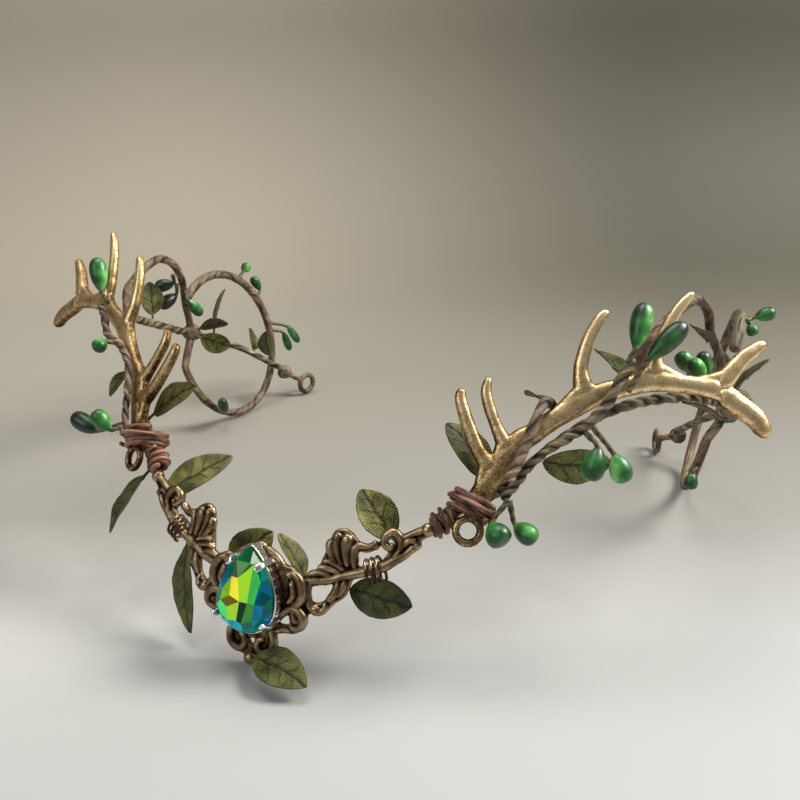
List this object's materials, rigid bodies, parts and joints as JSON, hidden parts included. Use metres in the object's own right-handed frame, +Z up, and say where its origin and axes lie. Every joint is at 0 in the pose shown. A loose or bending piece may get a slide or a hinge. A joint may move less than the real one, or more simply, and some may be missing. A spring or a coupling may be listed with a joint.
{
  "type": "fairy crown",
  "caption": "Open fairy crown of cast antlers, wound vines, satin leaves and berries on a pierced front plate with a pear-cut stone; the back ends in loops with wire eyes.",
  "frame": {"origin": "middle of the outer box, on the surface that the crown lies on", "axes": "+Z up, -Y towards the wearer's front, +X towards the wearer's left"},
  "size_m": [0.1822, 0.1494, 0.0729],
  "materials": {
    "stone": "faceted crystal, green and yellow",
    "silver": "polished silver",
    "antique_brass": "antique brass, darkened in the crevices",
    "bronze": "cast, antique bronze",
    "copper": "bare copper wire",
    "vine": "floral tape wound on wire",
    "binding": "floral tape",
    "leaf": "satin with a pressed rib and veins",
    "berry": "lacquered, high gloss"
  },
  "bodies": {
    "root": {"gem": "stone", "gem_setting": "silver", "filigree": "antique_brass", "winding_right": "vine", "antler_left": "bronze", "antler_right": "bronze", "vine_left": "vine", "vine_right": "vine", "branch_left": "vine", "branch_right": "vine", "arch_left": "vine", "arch_right": "vine", "loop_left": "vine", "loop_right": "vine", "cross_twig_left": "vine", "cross_twig_right": "vine", "eye_left": "vine", "eye_right": "vine", "binding_left": "binding", "binding_right": "binding", "wire_left": "copper", "wire_right": "copper", "leaf_left_1": "leaf", "leaf_left_2": "leaf", "leaf_left_3": "leaf", "leaf_left_4": "leaf", "leaf_left_5": "leaf", "leaf_left_6": "leaf", "leaf_left_7": "leaf", "leaf_left_8": "leaf", "leaf_left_9": "leaf", "leaf_left_10": "leaf", "leaf_left_11": "leaf", "leaf_gem_left": "leaf", "leaf_gem_right": "leaf", "leaf_tip": "leaf", "leaf_right_1": "leaf", "leaf_right_2": "leaf", "leaf_right_3": "leaf", "leaf_right_4": "leaf", "leaf_right_5": "leaf", "leaf_right_6": "leaf", "leaf_right_7": "leaf", "leaf_right_8": "leaf", "leaf_right_9": "leaf", "leaf_right_10": "leaf", "leaf_right_11": "leaf", "berries_foot_left": "berry", "berries_upper_left": "berry", "berries_back_left": "berry", "berries_loop_left": "berry", "berries_fan_left": "berry", "berries_low_left": "berry", "berries_foot_right": "berry", "berries_hanging_right": "berry", "berries_big_right": "berry", "berries_arch_right": "berry", "berries_top_right": "berry", "berries_low_right": "berry"}
  },
  "joints": []
}
